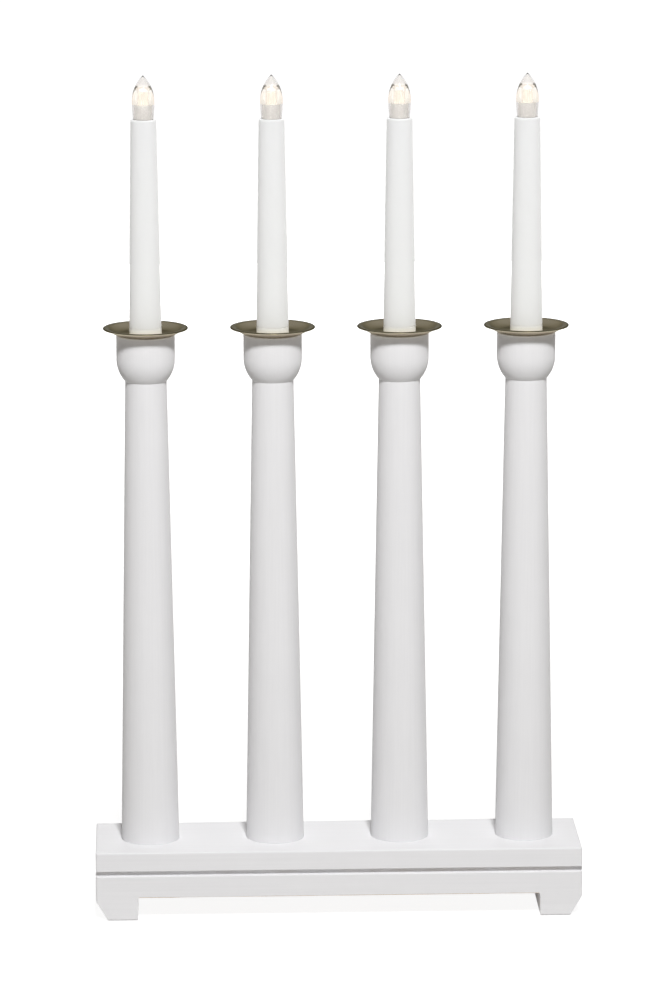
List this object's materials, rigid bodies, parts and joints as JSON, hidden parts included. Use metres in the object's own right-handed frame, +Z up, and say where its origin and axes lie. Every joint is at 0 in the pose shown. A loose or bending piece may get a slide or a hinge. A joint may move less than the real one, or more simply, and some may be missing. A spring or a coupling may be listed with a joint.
{
  "type": "electric candle holder",
  "caption": "White wooden electric candle holder: turned columns on a grooved footed beam carry brass drip trays and candle tubes with screw-in flame lamps.",
  "frame": {"origin": "on the floor, under the middle of the beam", "axes": "+X along the beam to the right seen from the front, +Y from the front to the back, +Z up along the candles"},
  "size_m": [0.31, 0.072, 0.5367],
  "materials": {
    "painted_wood": "white satin paint on turned and planed wood",
    "tray_brass": "thin brass sheet, matt aged top, bright cut edge",
    "candle_plastic": "white satin moulded plastic",
    "holder_plastic": "moulded insulator",
    "contact_brass": "stamped brass",
    "lamp_clear": "clear lamp body",
    "lamp_core": "lit, ribbed light guide",
    "lamp_cap": "nickel-plated rolled thread",
    "lamp_insulator": "black insulator",
    "lamp_solder": "solder",
    "cover_board": "raw hard fibreboard",
    "screw_steel": "zinc-plated",
    "bushing_plastic": "moulded nylon",
    "terminal_plastic": "moulded nylon",
    "wire_white": "wire insulation",
    "wire_brown": "wire insulation",
    "wire_blue": "wire insulation"
  },
  "bodies": {
    "holder": {"base_beam": "painted_wood", "bottom_cover": "cover_board", "cover_screws": "screw_steel", "cord_bushing": "bushing_plastic", "terminal_block": "terminal_plastic", "terminal_barrels": "contact_brass", "terminal_screws": "screw_steel", "block_screw": "screw_steel", "feed_wire": "wire_brown", "return_wire": "wire_blue", "link_wire_1_2": "wire_white", "link_wire_2_3": "wire_white", "link_wire_3_4": "wire_white", "column_1": "painted_wood", "column_2": "painted_wood", "column_3": "painted_wood", "column_4": "painted_wood", "drip_tray_1": "tray_brass", "drip_tray_2": "tray_brass", "drip_tray_3": "tray_brass", "drip_tray_4": "tray_brass", "candle_tube_1": "candle_plastic", "candle_tube_2": "candle_plastic", "candle_tube_3": "candle_plastic", "candle_tube_4": "candle_plastic", "lampholder_1": "holder_plastic", "lampholder_2": "holder_plastic", "lampholder_3": "holder_plastic", "lampholder_4": "holder_plastic", "socket_sleeve_1": "contact_brass", "socket_sleeve_2": "contact_brass", "socket_sleeve_3": "contact_brass", "socket_sleeve_4": "contact_brass", "centre_contact_1": "contact_brass", "centre_contact_2": "contact_brass", "centre_contact_3": "contact_brass", "centre_contact_4": "contact_brass"},
    "lamp_tip_1": {"bulb_tip_1": "lamp_solder"},
    "lamp_1": {"bulb_envelope_1": "lamp_clear", "bulb_core_1": "lamp_core", "bulb_cap_1": "lamp_cap", "bulb_insulator_1": "lamp_insulator"},
    "lamp_tip_2": {"bulb_tip_2": "lamp_solder"},
    "lamp_2": {"bulb_envelope_2": "lamp_clear", "bulb_core_2": "lamp_core", "bulb_cap_2": "lamp_cap", "bulb_insulator_2": "lamp_insulator"},
    "lamp_tip_3": {"bulb_tip_3": "lamp_solder"},
    "lamp_3": {"bulb_envelope_3": "lamp_clear", "bulb_core_3": "lamp_core", "bulb_cap_3": "lamp_cap", "bulb_insulator_3": "lamp_insulator"},
    "lamp_tip_4": {"bulb_tip_4": "lamp_solder"},
    "lamp_4": {"bulb_envelope_4": "lamp_clear", "bulb_core_4": "lamp_core", "bulb_cap_4": "lamp_cap", "bulb_insulator_4": "lamp_insulator"}
  },
  "joints": [
    {"name": "lamp_1_rise", "type": "slide", "parent": "holder", "child": "lamp_tip_1", "axis": [0, 0, 1], "range_m": [0, 0.00635]},
    {"name": "lamp_1_turn", "type": "hinge", "parent": "lamp_tip_1", "child": "lamp_1", "pos_m": [-0.12, 0, 0.509], "axis": [0, 0, 1], "range_deg": [0, 1260]},
    {"name": "lamp_2_rise", "type": "slide", "parent": "holder", "child": "lamp_tip_2", "axis": [0, 0, 1], "range_m": [0, 0.00635]},
    {"name": "lamp_2_turn", "type": "hinge", "parent": "lamp_tip_2", "child": "lamp_2", "pos_m": [-0.04, 0, 0.509], "axis": [0, 0, 1], "range_deg": [0, 1260]},
    {"name": "lamp_3_rise", "type": "slide", "parent": "holder", "child": "lamp_tip_3", "axis": [0, 0, 1], "range_m": [0, 0.00635]},
    {"name": "lamp_3_turn", "type": "hinge", "parent": "lamp_tip_3", "child": "lamp_3", "pos_m": [0.04, 0, 0.509], "axis": [0, 0, 1], "range_deg": [0, 1260]},
    {"name": "lamp_4_rise", "type": "slide", "parent": "holder", "child": "lamp_tip_4", "axis": [0, 0, 1], "range_m": [0, 0.00635]},
    {"name": "lamp_4_turn", "type": "hinge", "parent": "lamp_tip_4", "child": "lamp_4", "pos_m": [0.12, 0, 0.509], "axis": [0, 0, 1], "range_deg": [0, 1260]}
  ],
  "couplings": [
    {"joint": "lamp_1_rise", "follows": "lamp_1_turn", "m_per_rad": 0.00028871},
    {"joint": "lamp_2_rise", "follows": "lamp_2_turn", "m_per_rad": 0.00028871},
    {"joint": "lamp_3_rise", "follows": "lamp_3_turn", "m_per_rad": 0.00028871},
    {"joint": "lamp_4_rise", "follows": "lamp_4_turn", "m_per_rad": 0.00028871}
  ]
}
